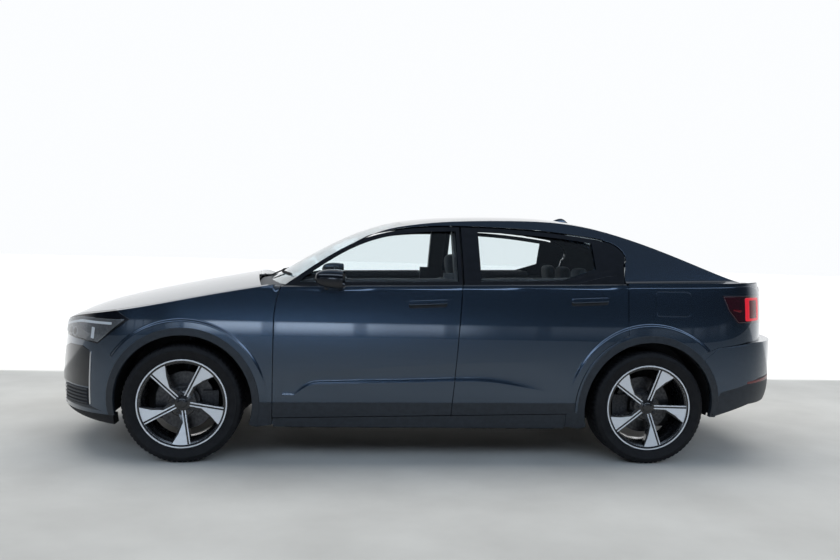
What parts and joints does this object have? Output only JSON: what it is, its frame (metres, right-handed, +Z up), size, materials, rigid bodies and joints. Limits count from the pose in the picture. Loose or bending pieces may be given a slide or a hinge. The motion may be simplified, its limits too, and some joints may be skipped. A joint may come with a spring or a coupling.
{
  "type": "fastback car",
  "caption": "Five-door fastback battery car with opening doors, hood, hatch and charge flap, steered front wheels and turning wheels",
  "frame": {"origin": "on the ground under the middle of the car's box", "axes": "X forward, Y to the car's left, Z up"},
  "size_m": [4.606, 1.983, 1.4796],
  "materials": {
    "body_paint": "gloss metallic",
    "dark_cladding": "satin",
    "gloss_black": "gloss",
    "clear_glass": "clear",
    "dark_glass": "dark tint",
    "lamp_clear": "clear",
    "lamp_red": "gloss",
    "alloy": "machined and painted",
    "tyre": "matte",
    "disc_steel": "turned",
    "chassis_steel": "painted",
    "chassis_plastic": "matte",
    "cabin_dark": "soft grain",
    "seat_cloth": "woven"
  },
  "bodies": {
    "body": {"body_sides": "body_paint", "wings": "body_paint", "front_bumper": "body_paint", "front_lip": "dark_cladding", "front_grille": "gloss_black", "head_lamps": "lamp_clear", "rear_bumper": "body_paint", "rear_diffuser": "dark_cladding", "tail_lamps": "lamp_red", "windscreen": "clear_glass", "roof_glass": "dark_glass", "roof_rear_panel": "body_paint", "sill_cladding": "dark_cladding", "floor_pan": "chassis_plastic", "battery_pack": "chassis_steel", "cowl": "dark_cladding", "front_subframe": "chassis_steel", "rear_subframe": "chassis_steel", "drive_unit": "chassis_steel", "rear_knuckles": "chassis_steel", "dashboard": "cabin_dark", "front_seats": "seat_cloth", "rear_seat": "seat_cloth", "wheel_liners": "chassis_plastic"},
    "hood": {"hood": "body_paint"},
    "hatch": {"hatch": "body_paint", "hatch_glass": "dark_glass", "light_bar": "lamp_red"},
    "charge_flap": {"charge_flap": "body_paint"},
    "steering_wheel": {"steering_wheel": "cabin_dark"},
    "door_front_left": {"door_front_left": "body_paint", "glass_front_left": "clear_glass", "mirror_left": "body_paint"},
    "door_rear_left": {"door_rear_left": "body_paint", "glass_rear_left": "clear_glass"},
    "knuckle_front_left": {"knuckle_front_left": "chassis_steel"},
    "wheel_front_left": {"wheel_front_left": "alloy", "tyre_front_left": "tyre", "disc_front_left": "disc_steel"},
    "wheel_rear_left": {"wheel_rear_left": "alloy", "tyre_rear_left": "tyre", "disc_rear_left": "disc_steel"},
    "door_front_right": {"door_front_right": "body_paint", "glass_front_right": "clear_glass", "mirror_right": "body_paint"},
    "door_rear_right": {"door_rear_right": "body_paint", "glass_rear_right": "clear_glass"},
    "knuckle_front_right": {"knuckle_front_right": "chassis_steel"},
    "wheel_front_right": {"wheel_front_right": "alloy", "tyre_front_right": "tyre", "disc_front_right": "disc_steel"},
    "wheel_rear_right": {"wheel_rear_right": "alloy", "tyre_rear_right": "tyre", "disc_rear_right": "disc_steel"}
  },
  "joints": [
    {"name": "door_front_left_hinge", "type": "hinge", "parent": "body", "child": "door_front_left", "pos_m": [0.926, 0.9305, 0.6], "axis": [0, 0, -1], "range_deg": [0, 68]},
    {"name": "door_rear_left_hinge", "type": "hinge", "parent": "body", "child": "door_rear_left", "pos_m": [-0.13125, 0.9305, 0.6], "axis": [0.0684, 0, -0.9977], "range_deg": [0, 68]},
    {"name": "steer_left", "type": "hinge", "parent": "body", "child": "knuckle_front_left", "pos_m": [1.433, 0.725, 0.22], "axis": [0, -0.2034, 0.9791], "range_deg": [-33, 33]},
    {"name": "wheel_front_left_spin", "type": "hinge", "parent": "knuckle_front_left", "child": "wheel_front_left", "pos_m": [1.433, 0.797, 0.338], "axis": [0, 1, 0], "continuous": true},
    {"name": "wheel_rear_left_spin", "type": "hinge", "parent": "body", "child": "wheel_rear_left", "pos_m": [-1.302, 0.797, 0.338], "axis": [0, 1, 0], "continuous": true},
    {"name": "door_front_right_hinge", "type": "hinge", "parent": "body", "child": "door_front_right", "pos_m": [0.926, -0.9305, 0.6], "axis": [0, 0, 1], "range_deg": [0, 68]},
    {"name": "door_rear_right_hinge", "type": "hinge", "parent": "body", "child": "door_rear_right", "pos_m": [-0.13125, -0.9305, 0.6], "axis": [-0.0684, 0, 0.9977], "range_deg": [0, 68]},
    {"name": "steer_right", "type": "hinge", "parent": "body", "child": "knuckle_front_right", "pos_m": [1.433, -0.725, 0.22], "axis": [0, 0.2034, 0.9791], "range_deg": [-33, 33]},
    {"name": "wheel_front_right_spin", "type": "hinge", "parent": "knuckle_front_right", "child": "wheel_front_right", "pos_m": [1.433, -0.797, 0.338], "axis": [0, 1, 0], "continuous": true},
    {"name": "wheel_rear_right_spin", "type": "hinge", "parent": "body", "child": "wheel_rear_right", "pos_m": [-1.302, -0.797, 0.338], "axis": [0, 1, 0], "continuous": true},
    {"name": "hood_hinge", "type": "hinge", "parent": "body", "child": "hood", "pos_m": [1, 0, 1.085], "axis": [0, -1, 0], "range_deg": [0, 65]},
    {"name": "hatch_hinge", "type": "hinge", "parent": "body", "child": "hatch", "pos_m": [-1.031, 0, 1.447], "axis": [0, 1, 0], "range_deg": [0, 75]},
    {"name": "charge_flap_hinge", "type": "hinge", "parent": "body", "child": "charge_flap", "pos_m": [-1.3225, 0.9165, 0.9625], "axis": [0, 0, -1], "range_deg": [0, 95]},
    {"name": "steering_wheel_turn", "type": "hinge", "parent": "body", "child": "steering_wheel", "pos_m": [0.448, 0.37, 0.89], "axis": [-0.9023, 0, 0.4311], "range_deg": [-462, 462]}
  ],
  "couplings": [
    {"joint": "steer_right", "follows": "steer_left", "ratio": 1},
    {"joint": "steering_wheel_turn", "follows": "steer_left", "ratio": 14}
  ]
}
